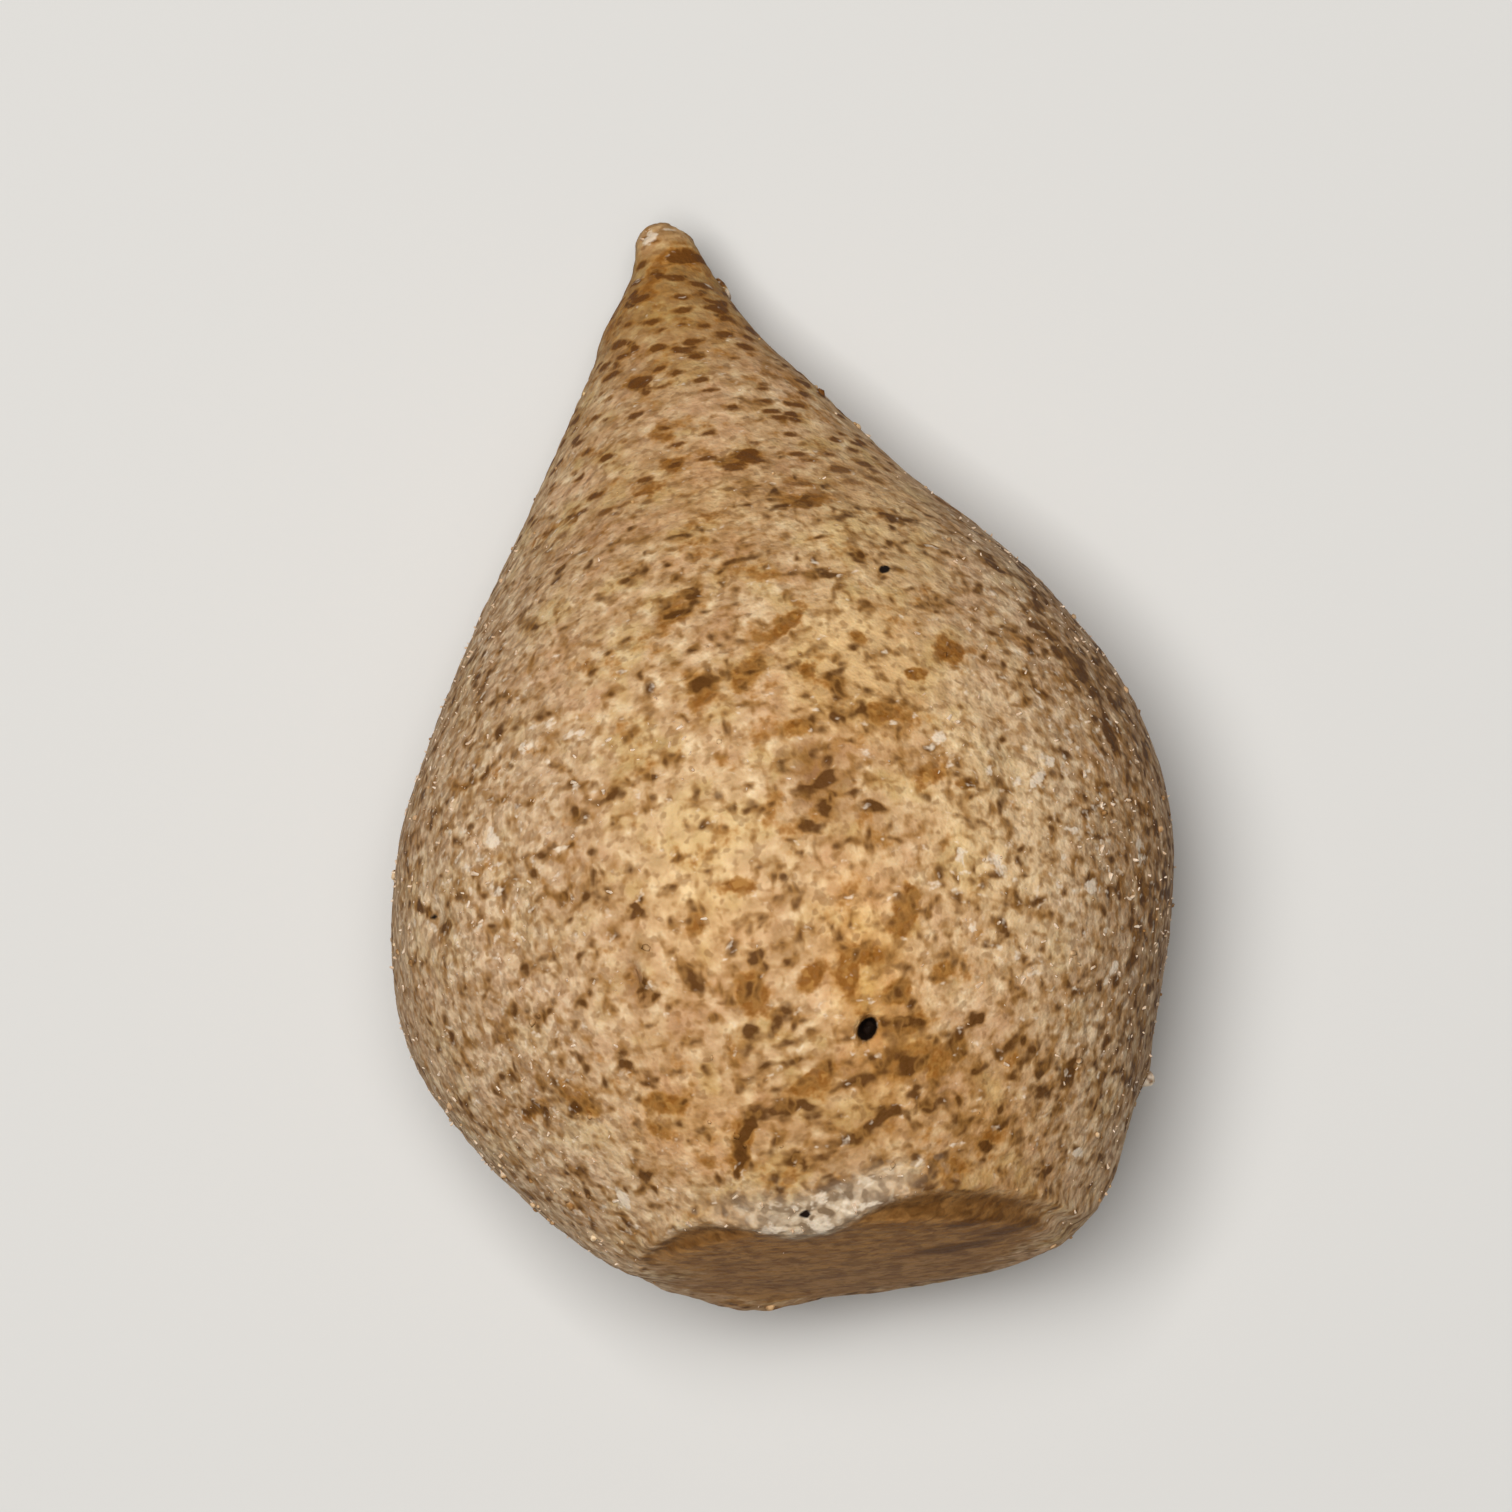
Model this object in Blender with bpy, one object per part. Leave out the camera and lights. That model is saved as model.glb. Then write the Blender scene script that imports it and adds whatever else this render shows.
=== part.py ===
"""A raw frozen kibbeh, lying on its side: a teardrop of cracked wheat and minced meat, shaped by hand.

The shell is turned in the palm to a fat belly and drawn out to a blunt point. It froze standing on
its blunt end, which left a flat face there, and it now lies on its belly with the point dipped.
Metres, +Z up, +Y towards the point, and the origin on the floor below the middle of the piece.
"""

import math

import bmesh
import bpy
from mathutils import Matrix, Vector, noise
from mathutils.bvhtree import BVHTree

MM = 0.001

# The turned form. Distances along the piece's own axis start at the flat end.
LENGTH = 66.4 * MM
BELLY_RADIUS = 23.4 * MM
BELLY_AT = 22.3 * MM
FLAT_END_RADIUS = 12.1 * MM
FLAT_END_DOME = 0.5 * MM
CONE_AT = 40.8 * MM
CONE_SLOPE = 0.72
POINT_RADIUS = 1.7 * MM
POINT_ROUNDING = 2.6 * MM
RIM_ROUNDING = 3.4 * MM

# How the piece sits: the point dips, the flat end is a little askew, and the belly has a small flat.
DIP = math.radians(17.0)
FLAT_END_SKEW = math.radians(5.5)
FLAT_END_LEAN = math.radians(4.0)
REST_FLAT_DEPTH = 0.5 * MM

# Rings run round the axis. Their spacing follows the outline, closer together at the point.
SEGMENTS = 72
RING_SPACING = 1.9 * MM
POINT_RING_SPACING = 0.5 * MM
FACE_RINGS = 4
RIM_RINGS = 3

# Low lumps of the dough under its smoothed skin.
LUMP_SIZE = 9.0 * MM
LUMP_HEIGHT = 0.30 * MM
LUMP_FADE = 3.0 * MM
LUMP_SEED = Vector((3.1, 7.7, 1.9))

# Marks of the fingers: place along the axis, degrees round it from the right side over the top,
# reach along and across, and depth, which is negative where the dough stands proud.
FINGER_MARKS = {
    "right_shoulder_plane": (13.0 * MM, 2, 7.0 * MM, 10.0 * MM, 0.75 * MM),
    "left_belly_swell": (18.0 * MM, 178, 8.0 * MM, 12.0 * MM, -0.40 * MM),
    "left_upper_plane": (36.0 * MM, 176, 11.0 * MM, 10.0 * MM, 0.65 * MM),
    "right_upper_swell": (35.0 * MM, 8, 11.0 * MM, 10.0 * MM, -0.60 * MM),
    "right_waist": (47.0 * MM, 8, 5.0 * MM, 12.0 * MM, 0.25 * MM),
    "top_dimple": (31.0 * MM, 80, 3.5 * MM, 4.5 * MM, 0.45 * MM),
    "top_left_rise": (25.0 * MM, 108, 7.0 * MM, 6.0 * MM, -0.35 * MM),
    "under_plane": (35.0 * MM, 265, 10.0 * MM, 8.0 * MM, 0.25 * MM),
    "point_left_swell": (56.0 * MM, 178, 4.5 * MM, 4.0 * MM, -0.45 * MM),
    "point_swell": (60.6 * MM, 0, 2.6 * MM, 60.0 * MM, -0.50 * MM),
    "point_nub": (64.0 * MM, 15, 1.6 * MM, 1.5 * MM, -0.50 * MM),
}

# The pinhole in the top, where steam or air left the dough.
PINHOLE_AT = 16.6 * MM
PINHOLE_ASIDE = 3.4 * MM
PINHOLE_RADIUS = 0.75 * MM
PINHOLE_FLOOR_RADIUS = 0.35 * MM
PINHOLE_DEPTH = 2.4 * MM
PINHOLE_SIDES = 10

DOUGH_COLOUR = (0.42, 0.25, 0.11, 1.0)
DOUGH_ROUGHNESS = 0.8


def clear_scene():
    for obj in list(bpy.data.objects):
        bpy.data.objects.remove(obj)


def dough_material():
    material = bpy.data.materials.new("frozen_dough")
    material.use_nodes = True
    shader = material.node_tree.nodes["Principled BSDF"]
    shader.inputs["Base Color"].default_value = DOUGH_COLOUR
    shader.inputs["Roughness"].default_value = DOUGH_ROUGHNESS
    shader.inputs["Metallic"].default_value = 0.0
    return material


def turned_radius(along):
    """Radius of the turned form: a round shoulder, a round belly and a straight cone to the point."""
    bend = CONE_AT - BELLY_AT
    past_belly = along - BELLY_AT
    if past_belly < 0:
        shoulder = (past_belly / BELLY_AT) ** 2
        return BELLY_RADIUS - (BELLY_RADIUS - FLAT_END_RADIUS) * shoulder
    if past_belly < bend:
        cone = BELLY_RADIUS - CONE_SLOPE * past_belly**2 / (2 * bend)
    else:
        cone = max(0.0, BELLY_RADIUS - CONE_SLOPE * (past_belly - bend / 2))
    blunted = math.hypot(cone, POINT_RADIUS * min(1.0, past_belly / bend))
    into_end = max(0.0, along - (LENGTH - POINT_ROUNDING)) / POINT_ROUNDING
    return blunted * math.sqrt(max(0.0, 1 - into_end**2))


def outline():
    """Points (distance along, radius) from the middle of the flat end to the point."""
    turn = math.atan2(BELLY_AT, 2 * (BELLY_RADIUS - FLAT_END_RADIUS))
    rim_end = FLAT_END_DOME + RIM_ROUNDING * (1 - math.cos(turn))
    face_radius = turned_radius(rim_end) - RIM_ROUNDING * math.sin(turn)
    points = []
    for ring in range(FACE_RINGS + 1):
        share = ring / FACE_RINGS
        points.append((FLAT_END_DOME * share**2, face_radius * share))
    for ring in range(1, RIM_RINGS):
        angle = turn * ring / RIM_RINGS
        along = FLAT_END_DOME + RIM_ROUNDING * (1 - math.cos(angle))
        points.append((along, face_radius + RIM_ROUNDING * math.sin(angle)))
    along = rim_end
    while along < LENGTH - POINT_RING_SPACING / 4:
        points.append((along, turned_radius(along)))
        step = RING_SPACING
        if along > CONE_AT:
            left = (LENGTH - along) / (LENGTH - CONE_AT)
            step = POINT_RING_SPACING + (RING_SPACING - POINT_RING_SPACING) * left
        slope = abs(turned_radius(along + step) - turned_radius(along)) / step
        along += step / math.hypot(1.0, slope)
    points.append((LENGTH, 0.0))
    return points


def turned_blank():
    """The outline spun once round +Y, with its flat end at the origin."""
    mesh = bmesh.new()
    vertices = [mesh.verts.new((radius, along, 0.0)) for along, radius in outline()]
    edges = [mesh.edges.new(pair) for pair in zip(vertices, vertices[1:])]
    bmesh.ops.spin(
        mesh,
        geom=vertices + edges,
        cent=(0, 0, 0),
        axis=(0, 1, 0),
        angle=math.tau,
        steps=SEGMENTS,
        use_merge=True,
    )
    bmesh.ops.remove_doubles(mesh, verts=mesh.verts, dist=0.001 * MM)
    bmesh.ops.recalc_face_normals(mesh, faces=mesh.faces)
    mesh.normal_update()
    return mesh


def finger_depth(point, mark):
    """How far one mark sinks the surface at this point of the turned form."""
    along, degrees, reach_along, reach_across, depth = mark
    around = math.atan2(point.z, point.x) - math.radians(degrees)
    around = (around + math.pi) % math.tau - math.pi
    across = around * math.hypot(point.x, point.z)
    off = ((point.y - along) / reach_along) ** 2 + (across / reach_across) ** 2
    return depth * math.exp(-off)


def shape_by_hand(mesh):
    """Skews the flat end, then sinks the finger marks and raises the lumps along the normals."""
    for vertex in mesh.verts:
        point = vertex.co.copy()
        lump = LUMP_HEIGHT * noise.noise(point / LUMP_SIZE + LUMP_SEED)
        marks = sum(finger_depth(point, mark) for mark in FINGER_MARKS.values())
        vertex.co = point + vertex.normal * min(1.0, point.y / LUMP_FADE) * (lump - marks)
        askew = point.x * math.tan(FLAT_END_SKEW) + point.z * math.tan(FLAT_END_LEAN)
        vertex.co.y -= askew * max(0.0, 1 - point.y / BELLY_AT) ** 2
    mesh.normal_update()


def lay_down(mesh):
    """Dips the point, sets the belly on the floor and cuts the small flat that it rests on."""
    bmesh.ops.transform(mesh, matrix=Matrix.Rotation(-DIP, 4, "X"), verts=mesh.verts)
    lowest = min(vertex.co.z for vertex in mesh.verts)
    drop = Vector((0, 0, -lowest - REST_FLAT_DEPTH))
    bmesh.ops.translate(mesh, vec=drop, verts=mesh.verts)
    cut = bmesh.ops.bisect_plane(
        mesh,
        geom=mesh.verts[:] + mesh.edges[:] + mesh.faces[:],
        dist=0.02 * MM,
        plane_co=(0, 0, 0),
        plane_no=(0, 0, 1),
        clear_inner=True,
    )
    rim = [item for item in cut["geom_cut"] if isinstance(item, bmesh.types.BMEdge)]
    for edge in rim:
        for vertex in edge.verts:
            vertex.co.z = 0.0
    bmesh.ops.contextual_create(mesh, geom=rim)
    bmesh.ops.recalc_face_normals(mesh, faces=mesh.faces)
    low = Vector([min(vertex.co[axis] for vertex in mesh.verts) for axis in range(3)])
    high = Vector([max(vertex.co[axis] for vertex in mesh.verts) for axis in range(3)])
    middle = (low + high) / 2
    bmesh.ops.translate(mesh, vec=(-middle.x, -middle.y, 0), verts=mesh.verts)
    flat_end_y = low.y - middle.y
    return flat_end_y


def add_pinhole_cutter(surface, flat_end_y):
    """A tapered drill that stands in the top of the belly."""
    place = Vector((PINHOLE_ASIDE, flat_end_y + PINHOLE_AT, 1.0))
    top = surface.ray_cast(place, Vector((0, 0, -1)))[0]
    above = PINHOLE_RADIUS
    slope = (PINHOLE_RADIUS - PINHOLE_FLOOR_RADIUS) / PINHOLE_DEPTH
    mesh = bmesh.new()
    bmesh.ops.create_cone(
        mesh,
        cap_ends=True,
        segments=PINHOLE_SIDES,
        radius1=PINHOLE_FLOOR_RADIUS,
        radius2=PINHOLE_RADIUS + slope * above,
        depth=PINHOLE_DEPTH + above,
    )
    data = bpy.data.meshes.new("pinhole_cutter")
    mesh.to_mesh(data)
    mesh.free()
    cutter = bpy.data.objects.new("pinhole_cutter", data)
    bpy.context.scene.collection.objects.link(cutter)
    cutter.location = top + Vector((0, 0, (above - PINHOLE_DEPTH) / 2))
    cutter.hide_render = True
    cutter.display_type = "WIRE"
    return cutter


def make_kibbeh():
    mesh = turned_blank()
    shape_by_hand(mesh)
    flat_end_y = lay_down(mesh)
    surface = BVHTree.FromBMesh(mesh)
    data = bpy.data.meshes.new("kibbeh")
    mesh.to_mesh(data)
    mesh.free()
    data.materials.append(dough_material())
    data.shade_smooth()
    data.set_sharp_from_angle(angle=math.radians(35))
    kibbeh = bpy.data.objects.new("kibbeh", data)
    bpy.context.scene.collection.objects.link(kibbeh)
    drill = kibbeh.modifiers.new("pinhole", "BOOLEAN")
    drill.operation = "DIFFERENCE"
    drill.solver = "EXACT"
    drill.object = add_pinhole_cutter(surface, flat_end_y)
    return kibbeh


clear_scene()
make_kibbeh()
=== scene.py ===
import math

import bpy
import numpy as np
from mathutils import Matrix, Vector, noise


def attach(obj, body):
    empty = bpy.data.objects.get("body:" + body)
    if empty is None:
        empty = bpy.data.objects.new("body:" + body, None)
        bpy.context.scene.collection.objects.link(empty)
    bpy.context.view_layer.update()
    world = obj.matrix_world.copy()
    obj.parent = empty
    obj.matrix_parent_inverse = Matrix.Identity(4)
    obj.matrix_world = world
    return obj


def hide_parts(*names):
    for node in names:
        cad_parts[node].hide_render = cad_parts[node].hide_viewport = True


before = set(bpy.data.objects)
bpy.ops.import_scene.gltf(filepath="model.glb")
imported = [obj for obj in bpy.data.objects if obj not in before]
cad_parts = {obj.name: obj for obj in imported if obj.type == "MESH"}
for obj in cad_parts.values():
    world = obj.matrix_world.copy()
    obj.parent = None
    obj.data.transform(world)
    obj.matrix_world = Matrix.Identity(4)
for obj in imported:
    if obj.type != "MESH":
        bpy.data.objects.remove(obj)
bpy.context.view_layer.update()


# The shaped dough.
# Fine cracked wheat and minced lean meat, kneaded to one mass, smoothed in a wet palm and frozen. The
# skin keeps low lumps, swollen grains, a pinhole, and a flat end that froze against the tray.
MM = 0.001
DIP = math.radians(17.0)
FLAT_END_NORMAL = Vector((-0.096, -0.993, -0.069)).normalized()
SKIN_VOXEL = 0.348 * MM

# Relief of the whole skin in millimetres: low swells, wandering rows of swollen grains that stand out
# more in some places, and pits. A groove takes up a share of a grain, and sinks by a share of its
# height. A shift starts a noise at another place in its pattern.
SWELL_WIDTH = 3.6
SWELL_HEIGHT = 0.10
GRAIN_LENGTH = 1.5
GRAIN_WIDTH = 1.2
GRAIN_HEIGHT = 0.09
GRAIN_WANDER = 0.35
GRAIN_WANDER_WIDTH = 1.1
GROOVE_SHARE = 0.42
GROOVE_SINK = 0.7
GRAINY_WIDTH = 6.0
GRAINY_LEAST = 0.35
GRAINY_SHIFT = Vector((4, 1, 7))
PIT_SPACING = 2.3
PIT_RADIUS = 0.30
PIT_DEPTH = 0.12
PIT_SHIFT = Vector((11, 5, 3))
SKIN_SEED = 3

# Marks on the upper side in millimetres: x, y, reach along x, reach along y, and height.
SKIN_MARKS = {
    "grey_dimple": (3.1, -1.9, 1.5, 2.3, -0.32),
    "side_pit": (-9.3, -11.1, 0.40, 0.95, -0.70),
    "side_pit_foot": (-8.7, -12.2, 0.60, 0.35, -0.40),
    "side_pit_rim": (-8.3, -11.4, 0.45, 0.6, 0.25),
    "soft_hump": (-4.2, -3.9, 3.2, 3.0, 0.16),
    "soft_hollow": (-7.6, 2.4, 3.0, 2.2, -0.14),
    "right_fold": (14.2, -4.0, 1.0, 5.0, -0.22),
    "left_fold": (-15.2, -6.5, 0.8, 3.5, -0.18),
    "left_nick": (-20.0, -5.8, 0.6, 0.9, -0.35),
}
# Swellings of the point and of the flat end's rim: x, y, z, reach and height.
SWELLINGS = {
    "right_neck": (3.0, 28.8, 10.0, 1.8, 0.55),
    "left_swell": (-4.4, 26.4, 10.0, 2.4, 0.70),
    "left_neck": (-2.2, 29.0, 10.0, 1.4, 0.25),
    "left_corner": (-0.9, 32.0, 9.5, 0.8, 0.30),
    "right_corner": (1.9, 31.3, 9.5, 0.7, 0.30),
    "point_slope": (1.3, 32.5, 9.2, 0.9, -0.38),
    "rim_left": (-6.5, -31.7, 18.0, 3.6, 0.75),
    "rim_left_hollow": (-13.5, -28.3, 25.0, 3.0, -0.50),
    "rim_right": (15.2, -28.6, 27.5, 3.0, 0.65),
    "right_bump": (20.0, -22.6, 25.0, 1.3, 0.45),
}
# The upper edge of the flat end, seen from above: x, then y. It stands up as a lip over a groove:
# the height or depth of each, how far past the edge it is, and its reach. The lip ends where x is
# this far left, and the face's colour stops at it to within these distances from the middle line.
LIP_EDGE = [
    (-13.0, -11.6, -9.3, -7.6, -5.8, -3.0, -0.8, 1.0, 2.6, 5.2, 8.8, 11.5, 13.4),
    (-30.5, -27.1, -25.9, -25.8, -26.3, -27.4, -27.4, -26.9, -26.4, -26.2, -27.0, -28.2, -29.8),
]
LIP_RISE = (0.35, -0.35, 0.6)
LIP_GROOVE = (0.30, 0.9, 0.8)
LIP_LEFT_END = (-12.5, -10.5)
LIP_ENDS = (12.5, 9.5)
# The lower edge of the flat end's colour: how far from the middle of the face it starts and is full,
# how ragged it is, and in which widths. The face is flatter than the rest of the skin by a share, and
# its middle is that of all the skin that faces its way to within this cosine.
FACE_FACING = 0.97
FACE_EDGE = (10.8, 8.4)
FACE_RAGGEDNESS = 1.6
RAGGED_WIDTHS = (1.3, 3.5)
FACE_FLATNESS = 0.6
# The pinhole in the top. The dough closed on it from two sides, which made it narrow and slanting:
# the pull reaches a little way round it, and nothing below this height.
PINHOLE = (3.4, -16.4)
PINHOLE_REACH = 1.4
PINHOLE_ABOVE = 20
PINHOLE_LEAN = math.radians(52)
PINHOLE_SQUEEZE = 0.24
PINHOLE_STRETCH = 0.16
# The point was rolled between the fingers: from here on, bits in the dough lie across it.
ROLLED_FROM = 4.0
ROLLED_FADE = 6.0
ROLLED_SQUEEZE = 0.10
ROLLED_STRETCH = 0.05


def linear(hex_colour):
    """An sRGB hex colour as linear red, green, blue and a full alpha."""
    shares = [int(hex_colour[i : i + 2], 16) / 255 for i in (1, 3, 5)]
    lit = [share / 12.92 if share <= 0.04045 else ((share + 0.055) / 1.055) ** 2.4 for share in shares]
    return (*lit, 1.0)


def pick_only(obj):
    """Selects one object, makes it active, and leaves the CAD nodes unselected."""
    bpy.ops.object.select_all(action="DESELECT")
    obj.select_set(True)
    bpy.context.view_layer.objects.active = obj


def apply_modifier(obj, kind, **settings):
    """Adds one modifier with its settings and applies it."""
    modifier = obj.modifiers.new(kind.lower(), kind)
    for name, value in settings.items():
        setattr(modifier, name, value)
    bpy.ops.object.modifier_apply(modifier=modifier.name)


def vertex_values(mesh, name):
    """One vertex vector, such as co or normal, of the whole mesh as rows."""
    values = np.empty(len(mesh.vertices) * 3)
    mesh.vertices.foreach_get(name, values)
    return values.reshape(-1, 3)


def add_node(tree, kind, settings=None, inputs=None):
    """Adds a node, sets its properties, and links or fills its inputs."""
    node = tree.nodes.new(kind)
    for name, value in (settings or {}).items():
        setattr(node, name, value)
    for name, value in (inputs or {}).items():
        if isinstance(value, bpy.types.NodeSocket):
            tree.links.new(value, node.inputs[name])
        else:
            node.inputs[name].default_value = value
    return node


def smooth_step(start, full, value):
    """0 at the start, 1 where it is full, and a smooth rise between them."""
    share = np.clip((value - start) / (full - start), 0, 1)
    return share * share * (3 - 2 * share)


def bell(*offsets):
    """1 where every offset is 0, a third where one of them is 1, and next to nothing past 2."""
    return np.exp(-sum(offset**2 for offset in offsets))


dough = bpy.data.objects.new("kibbeh_dough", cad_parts["kibbeh"].data.copy())
bpy.context.scene.collection.objects.link(dough)
pick_only(dough)
bpy.ops.object.mode_set(mode="EDIT")
bpy.ops.mesh.select_all(action="SELECT")
bpy.ops.mesh.remove_doubles(threshold=0.001 * MM)
bpy.ops.mesh.tris_convert_to_quads(face_threshold=math.radians(40), shape_threshold=math.radians(60))
bpy.ops.object.mode_set(mode="OBJECT")
apply_modifier(dough, "SUBSURF", levels=2, render_levels=2)
apply_modifier(dough, "REMESH", mode="VOXEL", voxel_size=SKIN_VOXEL)
apply_modifier(dough, "SMOOTH", factor=0.5, iterations=2)

skin = vertex_values(dough.data, "co") / MM
normals = vertex_values(dough.data, "normal")
count = len(skin)

# The piece's own axes: the dip is undone, so that y runs from the flat end to the point.
undip = np.array(Matrix.Rotation(DIP, 3, "X"))
own = skin @ undip.T
end_slope = (normals @ undip.T) @ np.array(FLAT_END_NORMAL)
upper = smooth_step(0.0, 0.25, normals[:, 2])
past_lip = np.interp(skin[:, 0], *LIP_EDGE) - skin[:, 1]

# The seed fixes the noise vectors, which otherwise differ from run to run.
noise.seed_set(SKIN_SEED)
height = np.zeros(count)
ragged = np.zeros(count)
for index in range(count):
    spot = Vector(own[index])
    swell = SWELL_HEIGHT * noise.noise(spot / SWELL_WIDTH)
    cell = Vector((spot.x / GRAIN_LENGTH, spot.y / GRAIN_WIDTH, spot.z / GRAIN_LENGTH))
    cell += noise.noise_vector(spot / GRAIN_WANDER_WIDTH) * GRAIN_WANDER
    nearest, second = noise.voronoi(cell)[0][:2]
    crest = min(1.0, (second - nearest) / GROOVE_SHARE)
    stands_out = min(1.0, max(0.0, 0.5 + noise.noise(spot / GRAINY_WIDTH + GRAINY_SHIFT)))
    grainy = GRAINY_LEAST + (1 - GRAINY_LEAST) * stands_out
    pit_distance = noise.voronoi(spot / PIT_SPACING + PIT_SHIFT)[0][0] * PIT_SPACING
    pit = max(0.0, 1 - pit_distance / PIT_RADIUS)
    height[index] = swell + GRAIN_HEIGHT * grainy * (crest - GROOVE_SINK) - PIT_DEPTH * pit
    ragged[index] = sum(noise.noise(spot / width) for width in RAGGED_WIDTHS)

# The flat end: its colour stops at the lip above, and lower down at a ragged edge round its middle.
from_middle = own - own[end_slope > FACE_FACING].mean(axis=0)
lip_side = smooth_step(0.0, 5.0, from_middle[:, 2]) * smooth_step(*LIP_ENDS, np.abs(skin[:, 0]))
under_lip = smooth_step(-0.25, 0.6, past_lip) * smooth_step(0.3, 0.7, end_slope)
off_middle = np.hypot(from_middle[:, 0], from_middle[:, 2]) + FACE_RAGGEDNESS * ragged
low_face = smooth_step(*FACE_EDGE, off_middle) * smooth_step(0.5, 0.8, end_slope)
end_face = lip_side * under_lip + (1 - lip_side) * low_face
# Painted shade on the bend where the skin rises from the flat end to the top.
end_bend_shade = end_face * upper * (1 - smooth_step(0.92, 0.99, end_slope))
height *= 1 - FACE_FLATNESS * end_face
for x, y, reach_x, reach_y, rise in SKIN_MARKS.values():
    height += rise * bell((skin[:, 0] - x) / reach_x, (skin[:, 1] - y) / reach_y) * upper
lip_part = upper * smooth_step(*LIP_LEFT_END, skin[:, 0])
on_shoulder = smooth_step(0.3, 0.6, end_slope)
off_face = 1 - smooth_step(0.88, 0.97, end_slope)
rise, place, reach = LIP_RISE
height += rise * bell((past_lip - place) / reach) * lip_part * on_shoulder
depth, place, reach = LIP_GROOVE
height -= depth * bell((past_lip - place) / reach) * lip_part * off_face
for x, y, z, reach, rise in SWELLINGS.values():
    height += rise * np.exp(-((skin - (x, y, z)) ** 2).sum(axis=1) / reach**2)

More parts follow.
